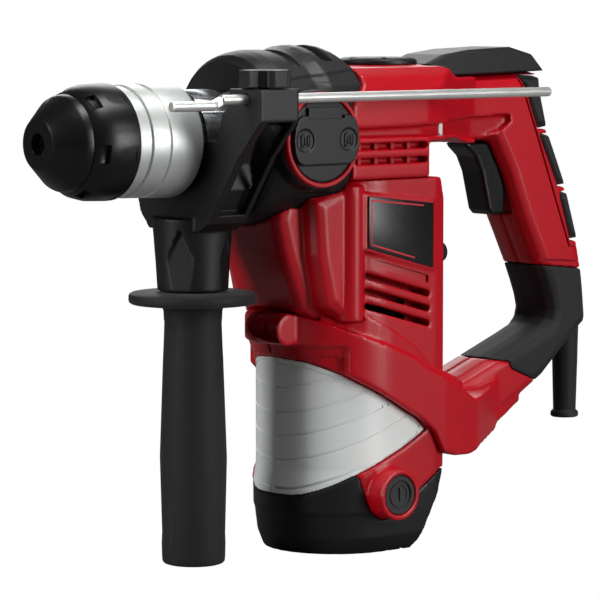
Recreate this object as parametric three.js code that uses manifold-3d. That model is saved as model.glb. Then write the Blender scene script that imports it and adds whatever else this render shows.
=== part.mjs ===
// Rotary hammer with an upright motor, D-handle, quick-release chuck and side handle.
// Millimetres, +Z up, nose towards -X, handle towards +X. The motor stands on X = 0, Y = 0, its foot on Z = 0.
import * as THREE from 'three';
import { mergeVertices } from 'three/addons/utils/BufferGeometryUtils.js';
import Module from 'manifold-3d';

const wasm = await Module();
wasm.setup();

// Driving dimensions.
const gap = 0.3;              // running gap between neighbouring pieces
const standZ = 3.3;           // drawing datum above the floor the tool stands on
const spindleZ = 208.5;       // height of the tool axis above the datum
const noseX = -187;           // front face of the dust cap
const motorR = 42;            // outside radius of the motor housing
const rearX = 40.5;           // flat rear face of the motor housing
const boreR = 36.5;           // inside radius of the motor housing
const bodyHalf = 43;          // half width of the upper body
const handleHalf = 17;        // half width of the D-handle
const shaftX = 18;            // crank and intermediate shafts stand this far from the motor axis
const throwR = 8;             // crank throw, half the piston stroke
const coverR = 43.5;          // radius of the gear cover barrel
const flareR = 45.8;          // the barrel widens to this where it meets the body
const neckR = 21.5;           // clamping neck of the gear case
const collarR = 28.5;         // largest radius of the locking collar
const triggerTravel = 6;      // stroke of the trigger
const gripX = -93;            // axis of the side handle
const rodY = -56;             // depth rod, beside the body
const rodZ = 229.5;
const knobX = -50.5;          // selector knob
const brushZ = 27.5;          // height of the brush axis
const capX = 29;              // grease cap
const cordX = 167;            // cord boot under the elbow
const knobY = -30;            // direction switch on the rear face

// Materials, one for each finish.
const finish = (color, roughness, metalness) => new THREE.MeshStandardMaterial({ color, roughness, metalness });
const red = finish(0xb00820, 0.42, 0);
const black = finish(0x1d1e20, 0.5, 0);
const rubber = finish(0x232326, 0.8, 0);
const silver = finish(0xc4c6c8, 0.4, 0.6);
const steel = finish(0x9ea2a6, 0.3, 1);
const bright = finish(0xd2d4d6, 0.2, 1);
const alloy = finish(0xb3b6b9, 0.45, 1);
const copper = finish(0xa8643c, 0.35, 1);
const brass = finish(0xb8964c, 0.35, 1);
const carbon = finish(0x2a2a2a, 0.7, 0);

const group = new THREE.Group();
group.name = 'rotary_hammer';
const tool = new THREE.Group();
tool.name = 'tool';
tool.position.z = standZ;
group.add(tool);

// Closed solid from a geometry, turned outwards if it was wound the other way.
function solid(geometry) {
  geometry.deleteAttribute('normal');
  geometry.deleteAttribute('uv');
  const g = mergeVertices(geometry.index ? geometry.toNonIndexed() : geometry, 1e-4);
  const p = g.attributes.position;
  const idx = g.index.array;
  const tris = [];
  let volume = 0;
  const a = new THREE.Vector3(), b = new THREE.Vector3(), c = new THREE.Vector3();
  for (let i = 0; i < idx.length; i += 3) {
    const [u, v, w] = [idx[i], idx[i + 1], idx[i + 2]];
    if (u === v || v === w || u === w) continue;
    tris.push(u, v, w);
    a.fromBufferAttribute(p, u); b.fromBufferAttribute(p, v); c.fromBufferAttribute(p, w);
    volume += a.dot(b.cross(c));
  }
  if (volume < 0) for (let i = 0; i < tris.length; i += 3) [tris[i], tris[i + 1]] = [tris[i + 1], tris[i]];
  return new wasm.Manifold(new wasm.Mesh({
    numProp: 3, vertProperties: new Float32Array(p.array), triVerts: new Uint32Array(tris),
  }));
}

const union = (...list) => list.reduce((s, t) => s.add(t));
const cut = (s, ...list) => list.reduce((u, t) => u.subtract(t), s);
const mirrored = (s) => s.mirror([0, 1, 0]);
const bothSides = (s) => s.add(mirrored(s));
const move = (s, x, y, z) => s.translate([x, y, z]);

function block(x0, x1, y0, y1, z0, z1) {
  const g = new THREE.BoxGeometry(x1 - x0, y1 - y0, z1 - z0);
  g.translate((x0 + x1) / 2, (y0 + y1) / 2, (z0 + z1) / 2);
  return solid(g);
}

// Straight prism of an outline: 'y' takes [x, z] points, 'x' takes [y, z], 'z' takes [x, y].
function prism(points, axis, from, to, edge = 0, steps = 2, depth = edge) {
  const shape = new THREE.Shape(points.map(([u, v]) => new THREE.Vector2(u, v)));
  const g = new THREE.ExtrudeGeometry(shape, {
    depth: to - from - 2 * depth, steps: 1, curveSegments: 8, bevelEnabled: edge > 0,
    bevelThickness: depth, bevelSize: edge, bevelOffset: -edge, bevelSegments: steps,
  });
  g.translate(0, 0, depth);
  const m = new THREE.Matrix4();
  if (axis === 'y') { g.rotateX(Math.PI / 2); g.translate(0, to, 0); }
  if (axis === 'x') {
    m.makeBasis(new THREE.Vector3(0, 1, 0), new THREE.Vector3(0, 0, 1), new THREE.Vector3(1, 0, 0));
    g.applyMatrix4(m); g.translate(from, 0, 0);
  }
  if (axis === 'z') g.translate(0, 0, from);
  return solid(g);
}

// Solid of revolution: profile of [along, radius] points, closed on itself or on the axis.
function turned(profile, axis, x = 0, y = 0, z = 0) {
  const widest = Math.max(...profile.map(([, r]) => r));
  const segments = widest >= 20 ? 32 : widest >= 8.5 ? 20 : 12;
  const closed = profile[0][1] > 0 ? [...profile, profile[0]] : profile;
  const g = new THREE.LatheGeometry(closed.map(([h, r]) => new THREE.Vector2(r, h)), segments);
  if (axis === 'z') g.rotateX(Math.PI / 2);
  if (axis === 'x') {
    g.applyMatrix4(new THREE.Matrix4().makeBasis(
      new THREE.Vector3(0, 0, 1), new THREE.Vector3(1, 0, 0), new THREE.Vector3(0, 1, 0)));
  }
  g.translate(x, y, z);
  return solid(g);
}

const rod = (axis, r, from, to) => turned([[from, 0], [from, r], [to, r], [to, 0]], axis);
const tube = (axis, r0, r1, from, to) => turned([[from, r0], [from, r1], [to, r1], [to, r0]], axis);

// Plan of the motor housing: round at the front, square at the rear, grown by an offset.
function plan(grow = 0, segments = 18) {
  const r = motorR + grow;
  const points = [];
  for (let i = 0; i <= segments; i++) {
    const t = Math.PI / 2 + (Math.PI * i) / segments;
    points.push([r * Math.cos(t), r * Math.sin(t)]);
  }
  const x = rearX + grow;
  return [...points, [x - 8, -r], [x - 1.5, -r + 1.6], [x, -r + 5], [x, r - 5], [x - 1.5, r - 1.6], [x - 8, r]];
}

// Toothed wheel about Z, given its tip radius, tooth depth and number of teeth.
function toothed(tip, depth, teeth, from, to) {
  const points = [];
  for (let i = 0; i < teeth; i++) {
    for (const [f, r] of [[0, tip - depth], [0.3, tip - depth], [0.42, tip], [0.78, tip]]) {
      const t = ((i + f) * 2 * Math.PI) / teeth;
      points.push([r * Math.cos(t), r * Math.sin(t)]);
    }
  }
  return prism(points, 'z', from, to);
}

function add(name, shape, material, at = [0, 0, 0]) {
  const mesh = shape.getMesh();
  const g = new THREE.BufferGeometry();
  g.setAttribute('position', new THREE.BufferAttribute(new Float32Array(mesh.vertProperties), 3));
  g.setIndex(new THREE.BufferAttribute(new Uint32Array(mesh.triVerts), 1));
  const flat = g.toNonIndexed();
  flat.computeVertexNormals();
  const node = new THREE.Mesh(flat, material);
  node.name = name;
  node.position.set(...at);
  tool.add(node);
}

// ---- outlines in the side view, [x, z] ----
// Rear edge of the gear cover, where the red body starts.
const coverEdge = [[-48, 165], [-34, 174], [-29, 181], [-25.6, 185], [-25, 224], [-14, 235], [-14, 242], [-19, 253]];
const shroudTop = [[27, 58], [20, 64.5], [10, 70], [0, 76], [-9.2, 81], [-17, 85], [-23.5, 89], [-29.7, 92.2],
  [-34.6, 94.8], [-38.6, 96.3], [-41.3, 97], [-48, 97]];
const shroudLow = [[-48, 26], [-38.6, 27], [-29.7, 31.5], [-23.5, 34.6], [-17, 37.5], [-9, 41], [0, 45], [10, 49],
  [20, 54]];
const baseTop = [[-48, 26], [-38.6, 27], [-29.7, 31.5], [-23.5, 34.6], [-17, 37.5], [-14, 28], [-10, 18.5], [-4, 14],
  [6, 14.3], [12, 18], [20, 26], [36, 36.5], [48, 38]];
// Band round the motor, running back into the lower bar of the handle.
const bandTop = [[118, 84], [109, 79.5], [84, 72.5], [60, 71], [44, 80.8], [26, 88.7], [16, 95.3], [-5, 104],
  [-18, 109], [-28, 113], [-42, 119.5], [-52, 123]];
const bandLow = [[-52, 98], [-41.3, 98], [-29.7, 92.8], [-17, 84.8], [0, 75.4], [10, 69.6], [20, 64], [29, 57],
  [35, 46], [44, 43], [55, 42.6], [66, 46], [95, 49.5], [118, 63]];
const ridgeTop = [[70, 78], [50, 82], [41, 86], [29, 91], [17, 102], [4, 110], [-14, 119.3], [-52, 124]];
const handleRear = [[133.6, 238.5], [134.2, 230], [135.8, 223.5], [139.6, 208.4], [153.6, 177.1], [162.9, 147.2],
  [165.8, 134.6], [166.7, 131.2], [168.2, 120.5], [169.6, 106], [168.9, 101.1], [162.4, 96.6],
  [136.3, 73.5], [95, 49.5], [66, 47]];
const gripFront = [[98, 202.5], [108, 185], [118.9, 159], [124.1, 149], [131.1, 135.1],
  [135.8, 124.5], [139.1, 116.3], [140.6, 110.2], [139.6, 106.2], [136, 102.5], [125.4, 98.1], [95.2, 86.3],
  [81.4, 81], [66, 76]];
const gripOutline = [[60, 202.5], [60, 236.5], ...handleRear, ...gripFront.slice().reverse()];
// Region of the handle covered by the elbow pad.
const elbowRegion = [[120, 136.3], [178, 130], [178, 95], [137, 68], [136.3, 72], [129, 73.5], [110.5, 81], [109, 84.8],
  [92, 87.3], [86, 89], [100, 103]];
const triggerOutline = [[84.5, 201.5], [86, 199], [92, 194], [96.2, 185.7], [101.4, 165.5], [104, 162.8], [113, 163],
  [113, 201.5]];
const capOutline = [[49.5, 243.6], [62, 248.5], [80, 250.8], [110, 252], [126, 248], [135, 239], [66, 237]];
const padOutlines = [
  [[117.4, 236.5], [134.2, 236.5], [134.9, 230], [136.5, 223.4], [140.5, 208.2], [129.2, 208.2]],
  [[130.5, 205.3], [141.8, 205.3], [154.6, 176.9], [144.6, 176.6]],
  [[145.5, 173.8], [155.7, 173.8], [164.1, 147.4], [154.4, 147]],
];

// Offset of an outline along its inward side, for walls and clearances.
function inset(points, d) {
  const n = points.length;
  let area = 0;
  for (let i = 0; i < n; i++) {
    const [a, b] = [points[i], points[(i + 1) % n]];
    area += a[0] * b[1] - b[0] * a[1];
  }
  const s = Math.sign(area) * d;
  return points.map((p, i) => {
    const a = points[(i + n - 1) % n], b = points[(i + 1) % n];
    const u = new THREE.Vector2(p[0] - a[0], p[1] - a[1]).normalize();
    const v = new THREE.Vector2(b[0] - p[0], b[1] - p[1]).normalize();
    const m = new THREE.Vector2(-u.y - v.y, u.x + v.x).normalize();
    const k = s / Math.max(0.5, m.dot(new THREE.Vector2(-u.y, u.x)));
    return [p[0] + m.x * k, p[1] + m.y * k];
  });
}

// Space taken by the gear cover, with a clearance, cut from the red bodies behind it.
function coverSpace(grow) {
  const side = [[-80, 150], [-48 + grow, 150], ...coverEdge.map(([x, z]) => [x + grow, z]), [-19 + grow, 262], [-80, 262]];
  return turned([[-80, 0], [-80, coverR + grow], [-42, coverR + grow], [-35, flareR + grow], [0, flareR + grow], [0, 0]],
    'x', 0, 0, spindleZ)
    .intersect(prism(side, 'y', -60, 60));
}

// ---- motor housing, base and shroud ----
function motorHousing() {
  let s = prism(plan(), 'z', 14, 187);
  // facets under the gear cover, running forward to meet it
  const front = prism([[-30, 112], [-44, 122], [-55, 150], [-60, 168], [-56, 180], [-20, 187]], 'y', -27, 27, 6)
    .add(prism([[-25, 116], [-38, 124], [-44, 150], [-46, 178], [-20, 187]], 'y', -39, 39, 6));
  s = union(s, front, bothSides(rod('z', 7, 116, 184).translate([-20.8, -35.6, 0])));
  // rear shoulder
  s = cut(s, prism([[rearX - 4.5, 188], [rearX + 1, 169], [60, 169], [60, 188]], 'y', -60, 60));
  const boss = rod('y', 13, 30, motorR + 9.5);
  const pad = prism([[-16.5, 180.6], [30.5, 175.2], [30.5, 139.4], [-16.5, 151.6]], 'y', 36, motorR + 0.6);
  s = union(s, move(bothSides(boss), 0, 0, brushZ), bothSides(pad));
  // brush bores, cap recesses
  for (const side of [1, -1]) {
    const bore = union(rod('y', 6.6, 20, 60), rod('y', 10.3, motorR + 4, 60));
    s = cut(s, move(side > 0 ? bore : mirrored(bore), 0, 0, brushZ));
  }
  // motor bore below, bearing web, gear case seat above
  s = cut(s, rod('z', boreR, 10, 124), rod('z', boreR, 139, 200), rod('z', 11.3, 126.5, 140),
    rod('z', 5, 120, 130));
  // seats for the base cap and the silver shroud
  const base = prism([...baseTop.map(([x, z]) => [x, z + gap]), [48, 0], [-48, 0]], 'y', -60, 60);
  const seat = cut(prism([...shroudTop, ...shroudLow], 'y', -60, 60), prism(plan(-4.2), 'z', 0, 120));
  s = cut(s, base, seat);
  s = cut(s, coverSpace(gap), turned([[-70, 0], [-70, 38.5], [-30, 38.5], [-30, 0]], 'x', 0, 0, spindleZ));
  // slanted exhaust slots level with the fan
  for (let i = 0; i < 3; i++) {
    const z = 140.5 - i * 7.6;
    s = cut(s, bothSides(prism([[-14, z], [28, z - 11.5], [28, z - 14.7], [-14, z - 3.2]], 'y', 31, 60)));
  }
  // direction knob seat on the rear face
  s = cut(s, move(rod('x', 4.3, 35, 50), 0, knobY, 147.5));
  return s;
}

function baseCap() {
  const side = [...baseTop, [39, 36.7], [35, 25], [24, 0.4], [20, -standZ], [-48, -standZ]];
  const taper = [[-standZ, 0], [-standZ, 36.5], [5, 39.8], [18, 41.2], [30, motorR], [45, motorR], [45, 0]];
  const sides = taper.slice(1, -1);
  const foot = turned(taper, 'z').add(prism([...sides.map(([z, r]) => [r, z]), ...sides.reverse().map(([z, r]) =>
    [-r, z])], 'x', 0, 60));
  const outer = prism(plan(), 'z', -standZ, 40).intersect(foot)
    .intersect(prism(side.filter(([x]) => x < 39.5), 'y', -60, 60));
  let s = cut(outer, prism(plan(-6), 'z', 1, 8), prism(plan(-4), 'z', 7, 60),
    move(bothSides(rod('y', 13.4, 30, 60)), 0, 0, brushZ));
  s = union(s, tube('z', 11.3, 14, 0.5, 14));
  for (const x of [-24, -14, 4, 14]) s = cut(s, block(x - 1.2, x + 1.2, -60, 60, -10, -standZ + 1.2));
  return s;
}

function shroud() {
  const ring = cut(prism(plan(-1.4), 'z', 10, 110), prism(plan(-3.9), 'z', 0, 120));
  const lip = cut(prism(plan(0.3), 'z', 10, 34), prism(plan(-3.9), 'z', 0, 120));
  return ring.add(lip).intersect(prism(inset([...shroudTop, ...shroudLow], 0.35), 'y', -60, 60));
}

// ---- two halves of the body and handle ----
function clamshell() {
  const top = [[-36, 187.3], [-36, 238], [-22, 243], [48, 243], [66, 236.5]];
  const upperSide = [...top, [84, 236.8], [84, 201.8], [78, 201.8], [66, 205.5], [43, 206], [41, 203.5],
    [41, 190], [39.5, 187.3]];
  const upperPlan = [[-40, -bodyHalf], [26, -bodyHalf], [40, -39], [60, -25], [84, -handleHalf + 1],
    [84, handleHalf - 1], [60, 25], [40, 39], [26, bodyHalf], [-40, bodyHalf]];
  // the finned neck is bevelled at its rear corners
  const corner = prism([[25.5, -44], [42, -25], [60, -25], [60, -60], [25.5, -60]], 'z', 180, 205.5);
  const upperFront = [[-bodyHalf, 187], [-bodyHalf, 228], [-36, 239], [-26, 244], [26, 244], [36, 239],
    [bodyHalf, 228], [bodyHalf, 187]];
  const ahead = [[-80, 150], ...coverEdge.map(([x, z]) => [x + gap, z]), [-19 + gap, 262], [-80, 262]];
  const upper = cut(prism(upperSide, 'y', -bodyHalf, bodyHalf), prism(ahead, 'y', -60, 60))
    .intersect(prism(upperPlan, 'z', 180, 250)).intersect(prism(upperFront, 'x', -50, 90))
    .subtract(bothSides(corner));
  const boss = rod('z', 23, 238, 243.6).translate([capX, 0, 0]);
  const grip = prism(gripOutline, 'y', -handleHalf, handleHalf, 7, 3, 12);
  const bar = prism([...bandTop, ...bandLow], 'y', -48, 48);
  const barPlan = [...plan(4.2).slice(0, 19), [36, -46.2], [60, -43.5], [66, -40], [100, -17], [118, -15.5],
    [118, 15.5], [100, 17], [66, 40], [60, 43.5], [36, 46.2]];
  const band = bar.intersect(prism(barPlan, 'z', 30, 130));
  const ridgePlan = [...plan(2).slice(0, 19), [46, -43], [70, -22], [70, 22], [46, 43]];
  const ridge = prism([...ridgeTop, [-52, 110], [0, 90], [70, 60]], 'y', -48, 48)
    .intersect(prism(ridgePlan, 'z', 30, 130));
  // short tube across the front of the band, hollowed from its front
  const horn = cut(rod('y', 8.2, -20, 6.5), move(turned([[-18.6, 0], [-18.6, 5.6], [0, 3.4], [6, 0]], 'y'), -4, 0, 0));
  let s = union(upper, boss, grip, band, ridge, move(horn, -47, 0, 112));
  // hollow upper body, grip and lower bar
  s = cut(s, block(-36.9, 46.9, -31.6, 31.6, 207, 240.4), block(-36.9, 31, -31.6, 31.6, 180, 208),
    block(-36.9, 38, -22, 22, 180, 208));
  s = cut(s, prism(inset(gripOutline, 8), 'y', -9.8, 9.8));
  s = cut(s, prism(plan(gap), 'z', 30, 187.3), bothSides(rod('z', 7.3, 115.7, 187).translate([-20.8, -35.6, 0])),
    prism([[-28, 111], [-46, 121.5], [-46, 140], [-28, 140]], 'y', -27.3, 27.3),
    prism([[-24, 115], [-40, 123.5], [-40, 140], [-24, 140]], 'y', -39.3, 39.3));
  s = cut(s, coverSpace(gap), turned([[-70, 0], [-70, 38.6], [-30, 38.6], [-30, 0]], 'x', 0, 0, spindleZ));
  s = cut(s, rod('z', 17.5, 230, 250).translate([capX, 0, 0]));
  // elbow and pad seats, cap seat
  const elbowSkin = cut(prism(inset(elbowRegion, -gap), 'y', -30, 30), prism(inset(gripOutline, 4.3), 'y', -12.9, 12.9));
  s = cut(s, elbowSkin);
  for (const p of [...padOutlines, capOutline]) s = cut(s, prism(inset(p, -gap), 'y', -30, 30));
  s = cut(s, rod('z', 7.9, 60, 104.3).translate([cordX, 0, 0]));
  // trigger slot and cord bore
  const press = prism(inset(triggerOutline, -gap), 'y', -8.8, 8.8);
  s = cut(s, wasm.Manifold.hull([press, press.translate([triggerTravel + 0.4, 0, 0])]));
  // air slots above the motor
  for (const z of [194.8, 202]) s = cut(s, bothSides(block(-23, 26, 36, 60, z, z + 3.2)));
  return s;
}

function housingHalf(side) {
  let s = cut(clamshell(), side < 0 ? block(-200, 300, -0.15, 200, -50, 400) : block(-200, 300, -200, 0.15, -50, 400));
  for (const [x, z] of screwSpots) {
    const boss = rod('y', 5, side < 0 ? -14.5 : 0.15, side < 0 ? -0.15 : 14.5).translate([x, 0, z]);
    s = s.add(boss);
    const hole = side < 0 ? rod('y', 1.8, -11, 5) : union(rod('y', 1.8, -5, 30), rod('y', 3.7, 10, 30));
    s = cut(s, hole.translate([x, 0, z]));
  }
  return s;
}
const screwSpots = [[74, 225], [112, 222], [138, 158], [92, 68]];

// ---- gear case, gear cover and the drive inside ----
function gearCase() {
  const lower = rod('z', 35.9, 139.3, 187);
  const upper = union(block(-36.4, 46.4, -31, 31, 207.4, 240), block(-36.4, 30.5, -31, 31, 187, 208),
    block(-36.4, 37.5, -21.5, 21.5, 187, 208));
  const barrel = turned([[-62, 0], [-62, 38], [-30, 38], [-30, 0]], 'x', 0, 0, spindleZ);
  const neck = turned([[-104, 0], [-104, neckR], [-69, neckR], [-69, 33], [-64, 38], [-60, 38], [-60, 0]], 'x',
    0, 0, spindleZ);
  let s = union(lower, upper, barrel, neck);
  s = cut(s, rod('z', 33, 142.5, 186.8), block(-33, 43, -27.5, 27.5, 210.5, 236.5),
    block(-33, 27.5, -27.5, 27.5, 186, 212), block(-33, 35.8, -18.2, 18.2, 186, 212));
  s = cut(s, turned([[-62, 0], [-62, 33.5], [-25, 33.5], [-25, 0]], 'x', 0, 0, spindleZ));
  s = cut(s, turned([[-110, 0], [-110, 17.6], [-50, 17.6], [-50, 0]], 'x', 0, 0, spindleZ));
  s = cut(s, rod('z', 6.5, 130, 150), rod('z', 16, 230, 245).translate([capX, 0, 0]));
  for (const x of [shaftX, -shaftX]) s = cut(s, rod('z', 4.4, 130, 150).translate([x, 0, 0]));
  return s;
}

function gearCover() {
  const side = [[-80, 150], [-48, 150], ...coverEdge, [-19, 262], [-80, 262]];
  const outer = turned([[-73, 0], [-73, 38.5], [-70.5, 41], [-60, coverR], [-42, coverR], [-35, flareR], [0, flareR],
    [0, 0]], 'x', 0, 0, spindleZ);
  let s = outer.intersect(prism(side, 'y', -60, 60));
  s = s.add(move(rod('y', 24.6, 20, 47), knobX, 0, spindleZ).mirror([0, 1, 0])
    .intersect(block(-76, -26, -47, 0, 150, 260)));
  s = cut(s, turned([[-69.5, 0], [-69.5, 39], [-62, 39.6], [5, 39.6], [5, 0]], 'x', 0, 0, spindleZ));
  s = cut(s, turned([[-90, 0], [-90, 23], [-60, 23], [-60, 0]], 'x', 0, 0, spindleZ));
  s = cut(s, block(-37, 0, -31.5, 31.5, 186.6, 240.5));
  // arched grooves over the top
  for (const x of [-50, -29]) {
    s = cut(s, turned([[x, 42.2], [x, 50], [x + 6, 50], [x + 6, 42.2]], 'x', 0, 0, spindleZ)
      .intersect(block(-70, -20, -25, 25, 238, 262)));
  }
  return s;
}

function crank() {
  return union(toothed(13.35, 1.6, 27, 143.5, 155.5), rod('z', 4, 139.8, 144), rod('z', 6, 155, 191),
    rod('z', 14, 190, 200), rod('z', 4, 199, 213).translate([-throwR, 0, 0]));
}

function conRod() {
  const eye = rod('z', 9, -4.2, 4), tip = rod('z', 2.5, -3, 3).translate([-40, 0, 0]);
  return cut(union(eye, tip, block(-40, -20, -2.5, 2.5, -3, 3), block(-24, -6, -4, 4, -4, 4)), rod('z', 4.4, -10, 10));
}

function intermediate() {
  const pinion = turned([[180, 0], [180, 7.6], [187, 5.6], [187, 0]], 'z');
  return union(toothed(13.35, 1.6, 27, 143.5, 155.5), rod('z', 4, 139.8, 144), rod('z', 5, 155, 181), pinion);
}

function spindle() {
  const s = turned([[-182.3, 5.1], [-182.3, 10.6], [-181.4, 11.2], [-153.5, 11.2], [-153.5, 14], [-100, 14], [-100, 17],
    [-30, 17], [-30, 13], [-98, 13], [-98, 8], [-145, 8], [-145, 5.1]], 'x');
  const pockets = bothSides(rod('y', 3.5, 3, 15)).translate([-163, 0, 0]);
  return cut(s, pockets);
}

function spindleGear() {
  const ring = turned([[-37, 17.3], [-37, 29.4], [-28.5, 29.4], [-26.6, 22], [-28.6, 20], [-31, 17.3]], 'x');
  return ring;
}

function armature() {
  const core = rod('z', 24.4, 50, 97), ends = turned([[42, 0], [42, 15], [46, 20], [102, 20], [105, 15], [105, 0]],
    'z');
  let s = union(core, ends, rod('z', 4, 5, 160), toothed(4.35, 1, 9, 143, 158));
  for (let i = 0; i < 12; i++) {
    s = cut(s, block(21.8, 26, -0.9, 0.9, 49, 98).rotate([0, 0, i * 30]));
  }
  return s;
}

function stator() {
  let s = cut(rod('z', 36.1, 47, 101), rod('z', 25.2, 40, 110));
  const window = prism([[24, -7], [33, -11], [33, 11], [24, 7]], 'z', 40, 110);
  return cut(s, window.rotate([0, 0, 90]), window.rotate([0, 0, -90]));
}

function fan() {
  let s = union(tube('z', 4.3, 9, 107.5, 119), tube('z', 8, 34, 107.5, 109.5));
  for (let i = 0; i < 11; i++) s = s.add(block(10, 33.5, -0.8, 0.8, 109, 118).rotate([0, 0, (i * 360) / 11]));
  return s;
}

// ---- chuck, about its own axis ----
function lockCollar() {
  let s = turned([[-170.5, 17], [-170.5, 24], [-166, 26.6], [-160, 28.2], [-148, collarR], [-146, 28.1],
    [-146, 27.4], [-161.5, 27.4], [-161.5, 17]], 'x');
  for (let i = 0; i < 6; i++) {
    const dent = block(-169, -163.2, -4.5, 4.5, 25.4, 32).rotate([i * 60, 0, 0]);
    s = cut(s, dent);
  }
  return s;
}

function chuckSleeve() {
  return turned([[-154, 14.4], [-154, 27], [-139.6, 27], [-139.6, 26.4], [-138.2, 26.4], [-138.2, 27.6],
    [-130, 27.8], [-129.4, 27], [-127.6, 27], [-127, 27.9], [-110, collarR], [-108, 27.6], [-108, 14.4]], 'x');
}

function toothRing() {
  let s = tube('x', 17.6, 26, -107.7, -105.3);
  for (let i = 0; i < 20; i++) s = cut(s, block(-108, -104, -1.2, 1.2, 24.4, 30).rotate([i * 18, 0, 0]));
  return s;
}

// ---- side handle ----
function bracket() {
  const arc = [];
  for (let i = 0; i <= 12; i++) {
    const t = (-8 + 8 * i) * Math.PI / 180 + Math.PI;
    arc.push([31.5 * Math.cos(t), spindleZ + 31.5 * Math.sin(t)]);
  }
  const arm = [[-67.5, 234.5], [-67.5, 219], [-50, 200.5], [-27, 168], [-20, 164], [20, 164], [27, 172],
    [31, 186], [31, 208.5], [-34, 208.5], [-38, 222], [-43.5, 227], [-43.5, 234.5]];
  let s = prism(arm, 'x', -12, 12);
  const neck = turned([[134, 0], [134, 17], [140, 17.2], [160, 18.6], [170, 19.2], [170, 0]], 'z')
    .intersect(block(-20, 17.2, -20, 20, 130, 172));
  s = s.add(neck);
  // saddle round the clamp band, lug slot, bolt bore, rod bore and knob bore
  s = cut(s, turned([[-20, 0], [-20, 24.9], [20, 24.9], [20, 0]], 'x', 0, 0, spindleZ));
  s = cut(s, block(-7, 7, -9.5, 9.5, 150, 190), rod('z', 4.6, 130, 160));
  s = cut(s, prism([[-58, 216], [-46, 202], [-33, 184], [-31, 197], [-37, 212], [-46, 218]], 'x', -9, 20));
  s = cut(s, move(rod('x', 3, -20, 20), 0, rodY, rodZ), move(rod('z', 3.4, rodZ + 1, 240), 0, rodY, 0));
  return s;
}

function clampBand() {
  const ring = tube('x', neckR + gap, 24.5, -10, 10).translate([0, 0, spindleZ]);
  return cut(ring.add(cut(block(-6.5, 6.5, -9, 9, 168, 190), turned([[-20, 0], [-20, 23], [20, 23], [20, 0]], 'x',
    0, 0, spindleZ))), rod('z', 4.4, 160, 182));
}

function sideGrip() {
  let s = turned([[-standZ, 0], [-standZ, 14.6], [-standZ + 1.4, 15.8], [50, 17], [100, 15.4], [122, 14.5], [126, 16], [127, 31],
    [128.5, 32], [131, 32], [132.2, 31], [133, 18], [133, 0]], 'z');
  s = cut(s, rod('z', 4.7, 90, 140));
  return s;
}

function crossKnob() {
  let s = union(block(-13, 13, -4.2, 4.2, 235, 243.5), block(-4.2, 4.2, -13, 13, 235, 243.5), rod('z', 8.6, 235, 243.5));
  return s.add(rod('z', 3, 232.4, 236));
}

function depthRod() {
  const main = rod('x', 2.5, -120, 98).translate([0, rodY, rodZ]);
  const tip = rod('x', 2.5, -150, -124).translate([0, rodY, rodZ - 2.6]);
  const jog = prism([[-125.5, rodZ - 5], [-125.5, rodZ - 0.4], [-119, rodZ + 2.2], [-119, rodZ - 2.2]], 'y', rodY - 1.6, rodY + 1.6);
  return union(main, tip, jog);
}

function selectorKnob() {
  const plate = [];
  for (let i = 0; i <= 6; i++) {
    const t = -Math.PI / 2 + (Math.PI * i) / 6;
    plate.push([15 + 6 * Math.cos(t), 12 * Math.sin(t)]);
  }
  for (let i = 0; i <= 6; i++) {
    const t = Math.PI / 2 + (Math.PI * i) / 6;
    plate.push([-15 + 6 * Math.cos(t), 12 * Math.sin(t)]);
  }
  const bar = prism(plate, 'y', -53, -48.2);
  const disc = rod('y', 20.9, -50, -47.3);
  return cut(union(disc, bar), block(-11.5, 11.5, -52, -49.8, 5.2, 20), block(-11.5, 11.5, -60, -49.8, 10.5, 14));
}

// ---- everything in place ----
add('housing_left', housingHalf(-1), red);
add('housing_right', housingHalf(1), red);
add('motor_housing', motorHousing(), red);
add('base_cap', baseCap(), black);
add('shroud', shroud(), silver);
add('gear_case', gearCase(), alloy);
add('gear_cover', gearCover(), black);

add('elbow_pad', cut(prism(gripOutline, 'y', -handleHalf, handleHalf, 7, 3, 12).intersect(prism(elbowRegion, 'y', -30, 30)),
  prism(inset(gripOutline, 4), 'y', -13.2, 13.2), rod('z', 7.9, 60, 104.3).translate([cordX, 0, 0])), rubber);
padOutlines.forEach((p, i) => add(`grip_pad_${i + 1}`, prism(p, 'y', -handleHalf + 2, handleHalf - 2, 4, 2, 8), rubber));
add('top_cap', prism(capOutline, 'y', -15, 15, 0.8, 1), black);
add('grease_cap', turned([[236, 0], [236, 15.5], [243.9, 15.5], [243.9, 20.6], [246, 20.6], [247.4, 18], [247.4, 0]],
  'z'), black, [capX, 0, 0]);

const label = [[-15, 179], [29, 174], [29, 141], [-15, 153]];
add('label_left', prism(label, 'y', -motorR - 1.7, -motorR - 0.9), black);
add('label_right', prism(label, 'y', motorR + 0.9, motorR + 1.7), black);

for (const [side, sign] of [['left', -1], ['right', 1]]) {
  const turn = (s) => (sign < 0 ? mirrored(s) : s);
  const cap = cut(turned([[46.3, 0], [46.3, 10], [50.8, 10], [50.8, 7.2], [49.6, 7.2], [49.6, 0]], 'y'),
    block(-6, 6, 48.6, 60, -1, 1));
  add(`brush_cap_${side}`, turn(cap), carbon, [0, 0, brushZ]);
  add(`brush_holder_${side}`, turn(cut(rod('y', 6.2, 15, motorR + 4), block(-3.4, 3.4, 0, 60, -2.4, 2.4))), brass,
    [0, 0, brushZ]);
  add(`brush_${side}`, turn(block(-3.1, 3.1, 13.4, 30, -2.1, 2.1)), carbon, [0, 0, brushZ]);
}

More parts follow.
